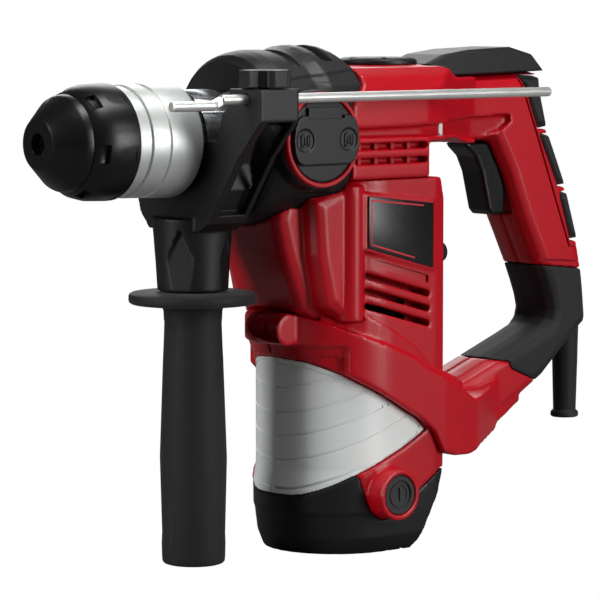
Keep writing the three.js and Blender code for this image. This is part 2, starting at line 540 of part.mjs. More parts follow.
add('direction_knob', union(rod('x', 4, 36.5, 44), turned([[rearX + 0.6, 0], [rearX + 0.6, 6], [rearX + 5, 5.8],
  [rearX + 7.2, 4], [rearX + 7.4, 0]], 'x')), black, [0, knobY, 147.5]);
add('cord_boot', turned([[49, 0], [49, 7.6], [52, 7.6], [53, 6.2], [80, 6.9], [104, 7.4], [104, 0]], 'z'), rubber,
  [cordX, 0, 0]);
add('trigger', prism(triggerOutline, 'y', -8.5, 8.5, 1.5), black);
add('switch_body', block(121.5, 131, -9.4, 9.4, 176, 200), carbon);

add('stator', stator(), steel);
add('armature', armature(), steel);
add('commutator', tube('z', 4.3, 13, 19, 36), copper);
add('fan', fan(), black);
add('bearing_lower', tube('z', 4.3, 11, 6, 13), bright);
add('bearing_upper', tube('z', 5.3, 11, 127, 136), bright);
add('crank', crank(), steel, [shaftX, 0, 0]);
add('con_rod', conRod(), steel, [shaftX - throwR, 0, spindleZ]);
add('intermediate_shaft', intermediate(), steel, [-shaftX, 0, 0]);
add('spindle', spindle(), steel, [0, 0, spindleZ]);
add('spindle_gear', spindleGear(), steel, [0, 0, spindleZ]);
add('piston', turned([[-56, 0], [-56, 12.7], [-30, 12.7], [-30, 11.2], [-52, 11.2], [-52, 0]], 'x'), alloy,
  [0, 0, spindleZ]);
add('striker', turned([[-95, 0], [-95, 7], [-90, 7], [-90, 12.7], [-74, 12.7], [-74, 0]], 'x'), steel,
  [0, 0, spindleZ]);
add('anvil', turned([[-144, 0], [-144, 4.8], [-138, 7.7], [-104, 7.7], [-104, 0]], 'x'), steel, [0, 0, spindleZ]);

add('dust_cap', turned([[noseX, 5.2], [noseX, 12.5], [-174.5, 23], [-171, 23.6], [-171, 11.5], [-182.7, 11.5],
  [-182.7, 5.2]], 'x'), rubber, [0, 0, spindleZ]);
add('lock_collar', lockCollar(), black, [0, 0, spindleZ]);
add('lock_ring', tube('x', 12.2, 16.7, -166, -160.4), steel, [0, 0, spindleZ]);
add('chuck_sleeve', chuckSleeve(), silver, [0, 0, spindleZ]);
add('tooth_ring', toothRing(), black, [0, 0, spindleZ]);
for (const [side, sign] of [['left', -1], ['right', 1]]) {
  const ball = turned([[-3.1, 0], [-2.7, 1.55], [-1.55, 2.7], [0, 3.1], [1.55, 2.7], [2.7, 1.55], [3.1, 0]], 'z');
  add(`lock_ball_${side}`, ball, bright, [-163, sign * 8.7, spindleZ]);
}

add('side_bracket', bracket(), black, [gripX, 0, 0]);
add('clamp_band', clampBand(), steel, [gripX, 0, 0]);
add('clamp_bolt', union(rod('z', 4, 100, 178), rod('z', 4.4, 100, 104)), steel, [gripX, 0, 0]);
add('side_grip', sideGrip(), rubber, [gripX, 0, 0]);
add('cross_knob', crossKnob(), black, [gripX, rodY, 0]);
add('depth_rod', depthRod(), bright);

add('selector_ring', tube('y', 21.3, 23.5, -50.5, -47.3), red, [knobX, 0, spindleZ]);
add('selector_knob', selectorKnob(), black, [knobX, 0, spindleZ]);
add('selector_button', block(-11, 11, -51.7, -50.1, 7.5, 16), black, [knobX, 0, spindleZ]);

screwSpots.forEach(([x, z], i) => {
  const screw = union(rod('y', 1.5, -9, 12), rod('y', 3.4, 10.4, 12.8));
  add(`housing_screw_${i + 1}`, cut(screw, block(-0.5, 0.5, 11.8, 14, -3, 3)), steel, [x, 0, z]);
});

export default group;
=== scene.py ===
import bpy, math
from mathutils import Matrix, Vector


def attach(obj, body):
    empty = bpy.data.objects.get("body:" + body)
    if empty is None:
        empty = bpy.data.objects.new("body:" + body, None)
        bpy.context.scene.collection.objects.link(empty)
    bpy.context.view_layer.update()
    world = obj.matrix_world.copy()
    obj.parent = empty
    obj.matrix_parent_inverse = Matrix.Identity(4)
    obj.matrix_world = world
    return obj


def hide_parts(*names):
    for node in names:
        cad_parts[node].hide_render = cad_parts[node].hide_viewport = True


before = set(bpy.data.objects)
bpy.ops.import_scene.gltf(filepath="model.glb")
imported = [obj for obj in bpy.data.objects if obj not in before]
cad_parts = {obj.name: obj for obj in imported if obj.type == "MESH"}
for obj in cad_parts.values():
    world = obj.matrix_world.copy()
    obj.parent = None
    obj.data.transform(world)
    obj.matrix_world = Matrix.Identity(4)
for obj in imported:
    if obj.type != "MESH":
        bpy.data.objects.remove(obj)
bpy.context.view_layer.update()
scene = bpy.context.scene
scene.view_settings.view_transform = "Standard"

mm = 0.001
standZ = 3.3          # height of the drawing datum above the floor, mm
spindleZ = 208.5      # tool axis above the datum, mm
motorR = 42           # motor housing radius
rearX = 40.5          # flat rear face of the motor housing
knobX = -50.5         # selector axis
gripX = -93           # side handle axis
brushZ = 27.5         # height of the brush axis
arcSteps = 56         # sides of the round front of the motor plan
cutSpan = 60          # cutters reach this far out to either side
mergeGap = 0.000004   # corners closer than this become one, metres
sliver = 0.000001     # faces thinner than this are dropped, metres
floorSize = 60        # side of the paper floor, metres
origin = (0, 0, 0)    # the motor axis, on the datum
chuckAt = (0, 0, spindleZ)

def pick(*pieces):
    if bpy.context.object and bpy.context.object.mode != "OBJECT":
        bpy.ops.object.mode_set(mode="OBJECT")
    bpy.ops.object.select_all(action="DESELECT")
    for piece in pieces:
        piece.select_set(True)
    bpy.context.view_layer.objects.active = pieces[0] if pieces else None

def place(axis, u, v, along):
    # outline point (u, v) on the plane that stands across the axis, datum millimetres to world metres
    x, y, z = {"x": (along, u, v), "y": (u, along, v), "z": (u, v, along)}[axis]
    return Vector((x * mm, y * mm, (z + standZ) * mm))

def closeUp(piece):
    # doubled corners merged, faces turned outwards
    pick(piece)
    bpy.ops.object.mode_set(mode="EDIT")
    bpy.ops.mesh.select_all(action="SELECT")
    bpy.ops.mesh.remove_doubles(threshold=mergeGap)
    bpy.ops.mesh.dissolve_degenerate(threshold=sliver)
    bpy.ops.mesh.select_all(action="SELECT")
    bpy.ops.mesh.normals_make_consistent(inside=False)
    bpy.ops.object.mode_set(mode="OBJECT")
    return piece

def outlinePiece(outline, axis, low, high):
    # a filled outline drawn across the axis, then extruded to its depth
    pick()
    bpy.ops.mesh.primitive_circle_add(vertices=len(outline), radius=0.01, fill_type="NGON")
    piece = bpy.context.object
    for corner, (u, v) in zip(piece.data.vertices, outline):
        corner.co = place(axis, u, v, low)
    piece.location = (0, 0, 0)
    depth = place(axis, 0, 0, high) - place(axis, 0, 0, low)
    bpy.ops.object.mode_set(mode="EDIT")
    bpy.ops.mesh.select_all(action="SELECT")
    bpy.ops.mesh.extrude_region_move(TRANSFORM_OT_translate={"value": depth})
    return closeUp(piece)

def turnedPiece(profile, axis, centre, steps=96):
    # half section of (along, radius) points, spun once round the axis through centre
    pick()
    bpy.ops.mesh.primitive_circle_add(vertices=len(profile), radius=0.01, fill_type="NOTHING")
    piece = bpy.context.object
    cx, cy, cz = centre
    for corner, (along, radius) in zip(piece.data.vertices, profile):
        x, y, z = {"x": (along, 0, radius), "y": (radius, along, 0), "z": (radius, 0, along)}[axis]
        corner.co = Vector(((cx + x) * mm, (cy + y) * mm, (cz + z + standZ) * mm))
    if profile[0][1] == 0 and profile[-1][1] == 0:
        ends = {0, len(profile) - 1}
        bpy.ops.object.mode_set(mode="EDIT")
        bpy.ops.mesh.select_all(action="DESELECT")
        bpy.ops.object.mode_set(mode="OBJECT")
        for edge in piece.data.edges:
            edge.select = set(edge.vertices) == ends
        bpy.ops.object.mode_set(mode="EDIT")
        bpy.ops.mesh.select_mode(type="EDGE")
        bpy.ops.mesh.delete(type="EDGE_FACE")
    bpy.ops.object.mode_set(mode="EDIT")
    bpy.ops.mesh.select_mode(type="VERT")
    bpy.ops.mesh.select_all(action="SELECT")
    line = {"x": (1, 0, 0), "y": (0, 1, 0), "z": (0, 0, 1)}[axis]
    bpy.ops.mesh.spin(steps=steps, angle=2 * math.pi, axis=line,
                      center=(cx * mm, cy * mm, (cz + standZ) * mm))
    return closeUp(piece)

def blockPiece(x0, x1, y0, y1, z0, z1):
    pick()
    middle = ((x0 + x1) / 2 * mm, (y0 + y1) / 2 * mm, ((z0 + z1) / 2 + standZ) * mm)
    bpy.ops.mesh.primitive_cube_add(size=1, location=middle,
                                    scale=((x1 - x0) * mm, (y1 - y0) * mm, (z1 - z0) * mm))
    bpy.ops.object.transform_apply(location=True, rotation=True, scale=True)
    return bpy.context.object

def applyModifier(piece, kind, **settings):
    step = piece.modifiers.new(kind.lower(), kind)
    for key, value in settings.items():
        setattr(step, key, value)
    pick(piece)
    bpy.ops.object.modifier_apply(modifier=step.name)
    return piece

def shape(piece, kind, *tools):
    # kind is UNION, DIFFERENCE or INTERSECT, and each tool is used up
    for tool in tools:
        applyModifier(piece, "BOOLEAN", operation=kind, object=tool, solver="EXACT")
        bpy.data.objects.remove(tool, do_unlink=True)
    return piece

def joined(*pieces):
    pick(*pieces)
    bpy.ops.object.join()
    return bpy.context.object

def melt(piece, cell, passes):
    # overlapping solids become one skin with moulded, slightly rounded edges
    applyModifier(piece, "REMESH", mode="VOXEL", voxel_size=cell * mm)
    return applyModifier(piece, "SMOOTH", factor=0.5, iterations=passes)

def roundEdges(piece, width, segments=3, angle=35):
    return applyModifier(piece, "BEVEL", width=width * mm, segments=segments, limit_method="ANGLE",
                         angle_limit=math.radians(angle), use_clamp_overlap=True)

def turnPiece(piece, angle, axis, centre):
    # turned in edit mode, so the object itself stays unrotated
    pick(piece)
    bpy.ops.object.mode_set(mode="EDIT")
    bpy.ops.mesh.select_all(action="SELECT")
    cx, cy, cz = centre
    bpy.ops.transform.rotate(value=angle, orient_axis=axis,
                             center_override=(cx * mm, cy * mm, (cz + standZ) * mm))
    bpy.ops.object.mode_set(mode="OBJECT")
    return piece

def finishPiece(piece, name, body, material, replaced=(), angle=32):
    piece.name = name
    piece.data.name = name
    piece.data.materials.clear()
    piece.data.materials.append(material)
    pick(piece)
    bpy.ops.object.shade_smooth_by_angle(angle=math.radians(angle))
    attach(piece, body)
    if replaced:
        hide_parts(*replaced)
    return piece

def frontArc(grow):
    # round front half of the motor plan, from +Y over -X to -Y
    r = motorR + grow
    turns = [math.radians(90 + (270 - 90) * i / arcSteps) for i in range(arcSteps + 1)]
    return [(r * math.cos(turn), r * math.sin(turn)) for turn in turns]

def motorPlan(grow):
    # the whole plan: round at the front, square at the rear
    r, x = motorR + grow, rearX + grow
    return frontArc(grow) + [(x - 8, -r), (x - 4, -r + 0.4), (x - 1.5, -r + 1.8), (x, -r + 5),
                                     (x, r - 5), (x - 1.5, r - 1.8), (x - 4, r - 0.4), (x - 8, r)]

def inset(outline, by):
    # the outline moved inwards by a distance
    area = sum(a[0] * b[1] - b[0] * a[1] for a, b in zip(outline, outline[1:] + outline[:1]))
    side, count, moved = math.copysign(by, area), len(outline), []
    for i, here in enumerate(outline):
        before, after = Vector(outline[i - 1]), Vector(outline[(i + 1) % count])
        u, v = (Vector(here) - before).normalized(), (after - Vector(here)).normalized()
        bisector = Vector((-u.y - v.y, u.x + v.x)).normalized()
        reach = side / max(0.5, bisector.dot(Vector((-u.y, u.x))))
        moved.append((here[0] + bisector.x * reach, here[1] + bisector.y * reach))
    return moved

def linearColour(code):
    parts = [int(code[i:i + 2], 16) / 255 for i in (1, 3, 5)]
    return [p / 12.92 if p <= 0.04045 else ((p + 0.055) / 1.055) ** 2.4 for p in parts] + [1]

def addNode(tree, kind, links=None, values=None, **settings):
    node = tree.nodes.new(kind)
    for key, value in settings.items():
        setattr(node, key, value)
    for key, value in (values or {}).items():
        node.inputs[key].default_value = value
    for key, socket in (links or {}).items():
        tree.links.new(socket, node.inputs[key])
    return node

def finish(name, low, high, roughness, spread, metallic=0.0, ior=1.5, grain=1.0, grainDepth=0.02,
           blotch=18, stretch=(1, 1, 1), sheen=0.0, gloss=0.5):
    # low and high are the two tones of the colour, grain and blotch are in millimetres
    material = bpy.data.materials.new(name)
    material.use_nodes = True
    tree = material.node_tree
    shader = tree.nodes["Principled BSDF"]
    shader.inputs["Metallic"].default_value = metallic
    shader.inputs["IOR"].default_value = ior
    shader.inputs["Specular IOR Level"].default_value = gloss
    shader.inputs["Sheen Weight"].default_value = sheen
    where = addNode(tree, "ShaderNodeTexCoord")
    lined = addNode(tree, "ShaderNodeMapping", {"Vector": where.outputs["Object"]}, {"Scale": stretch})
    clouds = addNode(tree, "ShaderNodeTexNoise", {"Vector": where.outputs["Object"]},
                     {"Scale": 1000 / blotch, "Detail": 4, "Roughness": 0.55})
    tones = addNode(tree, "ShaderNodeMix", {"Factor": clouds.outputs["Fac"]}, data_type="RGBA")
    tones.inputs[6].default_value = linearColour(low)
    tones.inputs[7].default_value = linearColour(high)
    tree.links.new(tones.outputs[2], shader.inputs["Base Color"])
    pits = addNode(tree, "ShaderNodeTexNoise", {"Vector": lined.outputs["Vector"]},
                   {"Scale": 1000 / grain, "Detail": 3, "Roughness": 0.6})
    dull = addNode(tree, "ShaderNodeMapRange", {"Value": pits.outputs["Fac"]},
                   {"From Min": 0.3, "From Max": 0.7, "To Min": roughness - spread,
                    "To Max": roughness + spread})
    tree.links.new(dull.outputs["Result"], shader.inputs["Roughness"])
    relief = addNode(tree, "ShaderNodeBump", {"Height": pits.outputs["Fac"]},
                     {"Strength": 0.6, "Distance": grainDepth * mm})
    tree.links.new(relief.outputs["Normal"], shader.inputs["Normal"])
    return material

# injection-moulded, coloured through: deep red with a soft gloss from the spark-eroded mould skin
redNylon = finish("glassFilledNylonRedMoulded",
                  "#AC0014", "#BC0018", 0.36, 0.05, ior=1.53, grain=0.9, grainDepth=0.03, gloss=0.36)
# the same nylon in black: the mould texture keeps it satin
blackNylon = finish("glassFilledNylonBlackMoulded",
                    "#0D0D0F", "#131316", 0.46, 0.06, ior=1.53, grain=0.9, grainDepth=0.045, gloss=0.36)
# overmoulded thermoplastic rubber: matt, slightly warm black
gripRubber = finish("rubberTpeOvermoulded",
                    "#111013", "#18171B", 0.66, 0.07, ior=1.5, grain=0.8, grainDepth=0.06,
                    sheen=0.08, gloss=0.36)
# acetal moulded in a polished tool, for the trigger and the chuck: smooth with broad highlights
satinAcetal = finish("acetalBlackMoulded",
                     "#0A0A0C", "#101013", 0.33, 0.04, ior=1.48, grain=1.4, grainDepth=0.012, gloss=0.36)
# silver lacquer sprayed over moulded plastic: fine flake, satin
silverLacquer = finish("lacquerSilverSprayed",
                       "#E0E4E2", "#ECEFED", 0.46, 0.06, metallic=0.1, ior=1.5, grain=0.8,
                       grainDepth=0.03, blotch=30)
# blasted and anodised aluminium sleeve: bright with a fine sandy grain
blastedAluminium = finish("aluminiumBlastedAnodised",
                          "#D4D8D5", "#E4E7E4", 0.42, 0.07, metallic=0.6, grain=0.7,
                          grainDepth=0.06, blotch=10)
# drawn and zinc-plated steel rod: drawn lines run along it
zincSteel = finish("steelDrawnZincPlated",
                   "#E2E3E0", "#F2F2F0", 0.34, 0.06, metallic=0.8, grain=0.8, grainDepth=0.03,
                   stretch=(0.05, 1, 1))
# turned and ground steel of the drive
groundSteel = finish("steelGround",
                     "#9A9DA0", "#B4B6B8", 0.3, 0.06, metallic=1, grain=1.0, grainDepth=0.01)
# aluminium as it leaves the die
castAlloy = finish("aluminiumDieCast",
                   "#A9ACAE", "#C2C5C6", 0.45, 0.08, metallic=1, grain=1.4, grainDepth=0.05)
# commutator bars turned bright
copperBar = finish("copperTurned",
                   "#A4623C", "#B8754A", 0.32, 0.06, metallic=1, grain=1.0, grainDepth=0.01)
# drawn brass tube
brassTube = finish("brassDrawn", "#AE8C44", "#C09E54", 0.33, 0.06, metallic=1, grain=1.0, grainDepth=0.01)
# pressed carbon, also the dark grey of the brush caps
carbonBlock = finish("carbonPressed", "#232325", "#303032", 0.7, 0.08, grain=1.0, grainDepth=0.04)
# printed polyester film
labelBlack = finish("polyesterLabelBlackPrinted",
                    "#070708", "#0B0B0C", 0.3, 0.03, ior=1.5, grain=2.0, grainDepth=0.004)
# red ink on the same film
labelRed = finish("inkRedPrinted", "#C4122B", "#D01833", 0.34, 0.03, grain=2.0, grainDepth=0.004)
print("finishes ready")

cadFinish = {
    redNylon: ("housing_left", "housing_right", "motor_housing", "selector_ring"),
    blackNylon: ("base_cap", "gear_cover", "top_cap", "grease_cap", "direction_knob", "side_bracket",
                 "clamp_band",
                 "cross_knob", "selector_knob", "selector_button", "tooth_ring", "fan", "switch_body",
                 "brush_cap_left", "brush_cap_right"),
    gripRubber: ("elbow_pad", "grip_pad_1", "grip_pad_2", "grip_pad_3", "side_grip", "cord_boot",
                 "dust_cap"),
    satinAcetal: ("trigger", "lock_collar"),
    silverLacquer: ("shroud",),
    blastedAluminium: ("chuck_sleeve",),
    zincSteel: ("depth_rod", "clamp_bolt", "housing_screw_1", "housing_screw_2", "housing_screw_3",
                "housing_screw_4",
                "lock_ring", "lock_ball_left", "lock_ball_right"),
    groundSteel: ("stator", "armature", "bearing_lower", "bearing_upper", "crank", "con_rod",
                  "intermediate_shaft",
                  "spindle", "spindle_gear", "striker", "anvil"),
    castAlloy: ("gear_case", "piston"),
    copperBar: ("commutator",),
    brassTube: ("brush_holder_left", "brush_holder_right"),
    carbonBlock: ("brush_left", "brush_right"),
    labelBlack: ("label_left", "label_right"),
}
for material, names in cadFinish.items():
    for name in names:
        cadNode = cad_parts[name]
        cadNode.data.materials.clear()
        cadNode.data.materials.append(material)
print("frame finished")

# pieces that start from the CAD shape

def cadCopy(name):
    # merged copy of the CAD shape, free to be worked on
    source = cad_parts[name]
    twin = bpy.data.objects.new(name + "Base", source.data.copy())
    scene.collection.objects.link(twin)
    twin.matrix_world = source.matrix_world.copy()
    pick(twin)
    bpy.ops.object.transform_apply(location=True, rotation=True, scale=True)
    return closeUp(twin)

def moulded(name, cell, passes, ratio):
    # the CAD shape with moulded edges, thinned to a share of its faces
    return applyModifier(melt(cadCopy(name), cell, passes), "DECIMATE", ratio=ratio)

def strip(line, width):
    # a band of the given width along a line of (x, z) points
    left, right = [], []
    for i, here in enumerate(line):
        before, after = Vector(line[max(i - 1, 0)]), Vector(line[min(i + 1, len(line) - 1)])
        run = (after - before).normalized()
        side = Vector((-run.y, run.x)) * width / 2
        left.append((here[0] + side.x, here[1] + side.y))
        right.append((here[0] - side.x, here[1] - side.y))
    return left + right[::-1]

def skinCut(piece, outline, depthPlan):
    # cuts an outline into the skin only as deep as the plan that is kept
    for sign in (-1, 1):
        tool = outlinePiece(outline, "y", *sorted((sign * 2, sign * cutSpan)))
        shape(tool, "DIFFERENCE", outlinePiece(depthPlan, "z", 20, 200))
        shape(piece, "DIFFERENCE", tool)
    return piece

# upper body and D-handle, one moulding split down the middle
bodyShell = {"cell": 0.85, "passes": 7, "ratio": 0.5, "channelWidth": 1.3}
scoopOutline = [(-30, 212.6), (30, 213.6), (84, 215.6), (108, 216.4), (109, 212.5), (102, 207.8),
                (92, 205), (74, 203.5), (60, 207.4), (-30, 208.4)]
scoopFloor = [(-40, -39.6), (24, -39.6), (38, -35.5), (58, -22.5), (82, -13), (118, -13),
              (118, 13), (82, 13), (58, 22.5), (38, 35.5), (24, 39.6), (-40, 39.6)]
padChannel = [(113.2, 240), (128, 205.4), (152.8, 144.2), (172, 144.2)]
elbowLine = [(118, 139.1), (178, 134.4)]

bandTop = [(118, 84), (109, 79.5), (84, 72.5), (60, 71), (44, 80.8), (26, 88.7), (16, 95.3), (-5, 104),
           (-18, 109), (-28, 113), (-42, 119.5), (-52, 123)]
bandLow = [(-52, 98), (-41.3, 98), (-29.7, 92.8), (-17, 84.8), (0, 75.4), (10, 69.6), (20, 64), (29, 57),
           (35, 46), (44, 43), (55, 42.6), (66, 46), (95, 49.5), (118, 63)]

def bandFront():
    # round front of the band, drawn fine
    band = outlinePiece(bandTop + bandLow, "y", -48, 48)
    return shape(band, "INTERSECT", outlinePiece(frontArc(4.25), "z", 30, 130))

def horn():
    # short tube lying across the front of the band
    return turnedPiece([(-20, 0), (-20, 7.5), (-19.3, 8.2), (5.8, 8.2), (6.5, 7.5), (6.5, 0)], "y",
                       (-47, 0, 112), 96)

def hornScoop():
    # its long hollow, closed at the near end by a thin round wall
    return turnedPiece([(-18.2, 0), (-18.2, 6.4), (-10, 6), (0, 4.6), (5, 2), (6.2, 0)], "y",
                       (-51.4, 0, 112), 96)

def frontTrim(piece):
    # the band narrows to the silver panel and steps back above the horn
    taper = turnedPiece([(60, 60), (60, 42.4), (96.5, 42.4), (103.5, 44.4), (104.6, 60)], "z", origin, 96)
    above = turnedPiece([(120.5, 43), (119.4, 60), (128, 60), (128, 43)], "z", origin, 96)
    for tool in (taper, above):
        shape(tool, "INTERSECT", blockPiece(-64, -24, -cutSpan, cutSpan, 50, 130))
    return shape(piece, "DIFFERENCE", taper, above)

def bodyHalf(name, sign):
    half = cadCopy(name)
    extras = [bandFront(), horn()]
    for extra in extras:
        side = blockPiece(-200, 300, *sorted((-sign * 200, sign * 0.12)), -20, 400)
        shape(extra, "DIFFERENCE", side, outlinePiece(motorPlan(0.3), "z", 30, 124))
    tool = outlinePiece(scoopOutline, "y", *sorted((sign * 4, sign * cutSpan)))
    shape(tool, "DIFFERENCE", outlinePiece(scoopFloor, "z", 190, 230))
    shape(half, "DIFFERENCE", tool)
    for part in (half, extras[0]):
        frontTrim(part)
    for part in [half] + extras:
        shape(part, "DIFFERENCE", hornScoop())
    half = joined(half, *extras)
    melt(half, bodyShell["cell"], bodyShell["passes"])
    applyModifier(half, "DECIMATE", ratio=bodyShell["ratio"])
    for line in (padChannel, elbowLine):
        groove = outlinePiece(strip(line, bodyShell["channelWidth"]), "y",
                              *sorted((sign * 14.2, sign * 30)))
        shape(half, "DIFFERENCE", groove)
    for x in range(-18, 26, 11):
        half = joined(half, blockPiece(x, x + 2, *sorted((sign * 33, sign * 38.6)), 193, 207))
    return half

for name, cadName, sign in (("housingHalfLeft", "housing_left", -1),
                            ("housingHalfRight", "housing_right", 1)):
    finishPiece(bodyHalf(cadName, sign), name, "frame", redNylon, [cadName])
print("body halves done")

# motor housing with its exhaust louvres
motorShell = {"cell": 0.8, "passes": 5, "ratio": 0.6}
motor = cadCopy("motor_housing")
for sign in (-1, 1):
    column = turnedPiece([(116, 0), (116, 7), (180, 7), (184, 5.6), (186, 3), (186.6, 0)], "z",
                         (-20.8, sign * 35.6, 0), 48)
    shape(motor, "UNION", column)
frontSkin = outlinePiece(frontArc(0.05), "z", 98, 187)
shape(frontSkin, "DIFFERENCE", outlinePiece(motorPlan(-3), "z", 90, 190))
for sign in (-1, 1):
    for i in range(3):
        z = 140.5 - 7.6 * i
        louvre = [(-14, z), (28, z - 11.5), (28, z - 14.7), (-14, z - 3.2)]
        shape(frontSkin, "DIFFERENCE", outlinePiece(louvre, "y", *sorted((sign * 31, sign * cutSpan))))
shape(frontSkin, "DIFFERENCE", turnedPiece([(-90, 0), (-90, 46), (60, 46), (60, 0)], "x", chuckAt, 96))
motor = joined(motor, frontSkin)
melt(motor, motorShell["cell"], motorShell["passes"])
applyModifier(motor, "DECIMATE", ratio=motorShell["ratio"])
for sign in (-1, 1):
    blind = outlinePiece([(-16, 148.8), (27, 137.2), (27, 133.2), (-16, 144.9)], "y",
                         *sorted((sign * 40.6, sign * cutSpan)))
    shape(motor, "DIFFERENCE", blind)
finishPiece(motor, "motorHousingShell", "frame", redNylon, ["motor_housing"])
print("motor housing done")

# silver panel with its swept grooves
panel = {"grow": -1.4, "grooveDepth": 0.55, "grooveWidth": 1.5}
sweeps = [[(-50, 84), (-40.5, 81.6), (-37, 83.6), (-31.3, 85.8), (-24.8, 86.8)],
          [(-50, 71.5), (-40.4, 69.1), (-34.9, 70.5), (-27.9, 73.6), (-21.5, 76.4), (-13, 80.4)],
          [(-13, 79.6), (-5, 76.2), (1.4, 72.3)],
          [(-50, 59.5), (-40.4, 56.8), (-34.4, 59.2), (-24.8, 63), (-12.9, 68.2), (-2.6, 72.2)],
          [(-50, 47), (-40.4, 44.7), (-34.4, 46.7), (-27.9, 49.2), (-17.8, 53.7), (-5, 59.6), (6, 64),
           (13.5, 66.2)],
          [(13.5, 65.4), (19, 61.5), (22, 59)],
          [(-50, 30), (-39.9, 30.2), (-33.2, 33.6), (-21.4, 38.6), (-7.4, 44), (9.3, 51), (21, 57)],
          [(-50, 94), (-40, 93.6), (-36, 91.8), (-30, 88.6), (-22, 84.8)]]
shroudTop = [(27, 58), (20, 64.5), (10, 70), (0, 76), (-9.2, 81), (-17, 85), (-23.5, 89), (-29.7, 92.2),
             (-34.6, 94.8), (-38.6, 96.3), (-41.3, 97), (-48, 97)]
shroudLow = [(-48, 26), (-38.6, 27), (-29.7, 31.5), (-23.5, 34.6), (-17, 37.5), (-9, 41), (0, 45),
             (10, 49), (20, 54)]
shroudPiece = outlinePiece(frontArc(panel["grow"]) + [(38, -40.6), (38, 40.6)], "z", 10, 110)
shape(shroudPiece, "UNION", turnedPiece([(10, 0), (10, 42.3), (27, 42.3), (33, 41.6), (40, 40.6),
                                         (40, 0)], "z", origin, 128))
shape(shroudPiece, "DIFFERENCE", outlinePiece(frontArc(-3.9) + [(40, -38), (40, 38)], "z", 0, 120))
shape(shroudPiece, "INTERSECT", outlinePiece(inset(shroudTop + shroudLow, 0.35), "y", -cutSpan, cutSpan))
melt(shroudPiece, cell=0.6, passes=3)
for line in sweeps:
    skinCut(shroudPiece, strip(line, panel["grooveWidth"]),
            motorPlan(panel["grow"] - panel["grooveDepth"]))
applyModifier(shroudPiece, "DECIMATE", ratio=0.6)
finishPiece(shroudPiece, "shroudPanel", "frame", silverLacquer, ["shroud"], 40)
print("silver panel done")

# base cap, brush caps
base = cadCopy("base_cap")
baseTop = [(-48, 26), (-38.6, 27), (-29.7, 31.5), (-23.5, 34.6), (-17, 37.5), (-14, 28), (-10, 18.5),
           (-4, 14), (6, 14.3), (12, 18), (20, 26), (36, 36.5), (48, 38)]
foot = turnedPiece([(-3.3, 0), (-3.3, 36), (-2.6, 36.9), (5, 39.8), (17.4, 41.3), (18.2, 41.9),
                    (30, 42.05), (45, 42.05), (45, 0)], "z", origin, 128)
shape(foot, "DIFFERENCE", turnedPiece([(2, 0), (2, 36), (60, 36), (60, 0)], "z", origin, 96),
      blockPiece(18, 60, -cutSpan, cutSpan, -10, 60))
shape(foot, "INTERSECT", outlinePiece(baseTop + [(39, 36.7), (35, 25), (24, 0.4), (20, -3.3),
    (-48, -3.3)], "y", -cutSpan, cutSpan))
shape(foot, "DIFFERENCE", turnedPiece([(-60, 0), (-60, 13.4), (60, 13.4), (60, 0)], "y", (0, 0, brushZ),
                                      64))
base = joined(base, foot)
melt(base, cell=0.7, passes=4)
applyModifier(base, "DECIMATE", ratio=0.6)
finishPiece(base, "baseCapShell", "frame", blackNylon, ["base_cap"])
for side, sign in (("left", -1), ("right", 1)):
    profile = [(46.3, 0), (46.3, 10), (50.4, 10), (50.8, 9.6), (50.8, 7.6), (49.8, 7.2), (49.8, 6.3),
               (50.3, 6.1), (50.3, 5.1), (49.8, 4.9), (49.8, 0)]
    cap = turnedPiece([(sign * along, radius) for along, radius in profile], "y", (0, 0, brushZ), 96)
    slot = blockPiece(-0.9, 0.9, *sorted((sign * 48.9, sign * cutSpan)), brushZ - 3.6, brushZ + 3.6)
    roundEdges(slot, width=0.8, segments=4)
    shape(cap, "DIFFERENCE", slot)
    finishPiece(cap, "brushCap" + side.title(), "frame", carbonBlock, ["brush_cap_" + side])
print("base done")

# gear cover
cover = cadCopy("gear_cover")
coverEdge = [(-48, 165), (-34, 174), (-29, 181), (-25.6, 185), (-25, 224), (-14, 235), (-14, 242),
             (-19, 253)]
skin = turnedPiece([(-71, 39.8), (-70.5, 41.1), (-66, 42.6), (-60, 43.6), (-42, 43.7), (-34, 45.7),
                    (0, 45.7), (0, 41), (-71, 39.6)], "x", chuckAt, 128)
shape(skin, "INTERSECT", outlinePiece([(-80, 150), (-48, 150)] + coverEdge + [(-19, 262), (-80, 262)],
                                      "y", -cutSpan, cutSpan))
cover = joined(cover, skin)
melt(cover, cell=0.6, passes=1)
shape(cover, "DIFFERENCE", blockPiece(-37, 0, -31.5, 31.5, 186.6, 240.5))
for x in (-50, -29):
    ring = turnedPiece([(x, 42.1), (x - 1.5, 52), (x + 7.5, 52), (x + 6, 42.1)], "x", chuckAt, 128)
    shape(ring, "INTERSECT", blockPiece(-70, -10, -25, 25, 234, 262))
    shape(cover, "DIFFERENCE", ring)
funnel = turnedPiece([(-80, 0), (-80, 39.4), (-73, 38), (-71.8, 33), (-71, 28), (-70.7, 0)], "x",
                     chuckAt, 128)
shape(cover, "DIFFERENCE", funnel)
for sign in (-1, 1):
    edge = outlinePiece([(-66, 237.2), (-14, 242.4), (-10, 241), (-10, 236), (-66, 236)], "y",
                        *sorted((sign * 20, sign * cutSpan)))
    shape(edge, "DIFFERENCE", turnedPiece([(-80, 0), (-80, 43.1), (-42, 43.1), (-34, 45.1), (0, 45.1),
                                           (0, 0)], "x", chuckAt, 128))
    shape(cover, "DIFFERENCE", edge)
for sign in (-1, 1):
    crease = outlinePiece(strip([(-72, 186), (-60, 186), (-57, 181), (-30, 181)], 0.9), "y",
                          *sorted((sign * 20, sign * cutSpan)))
    shape(crease, "DIFFERENCE", turnedPiece([(-80, 0), (-80, 42.6), (-20, 42.6), (-20, 0)], "x", chuckAt,
                                            96))
    shape(cover, "DIFFERENCE", crease)
melt(cover, cell=0.6, passes=4)
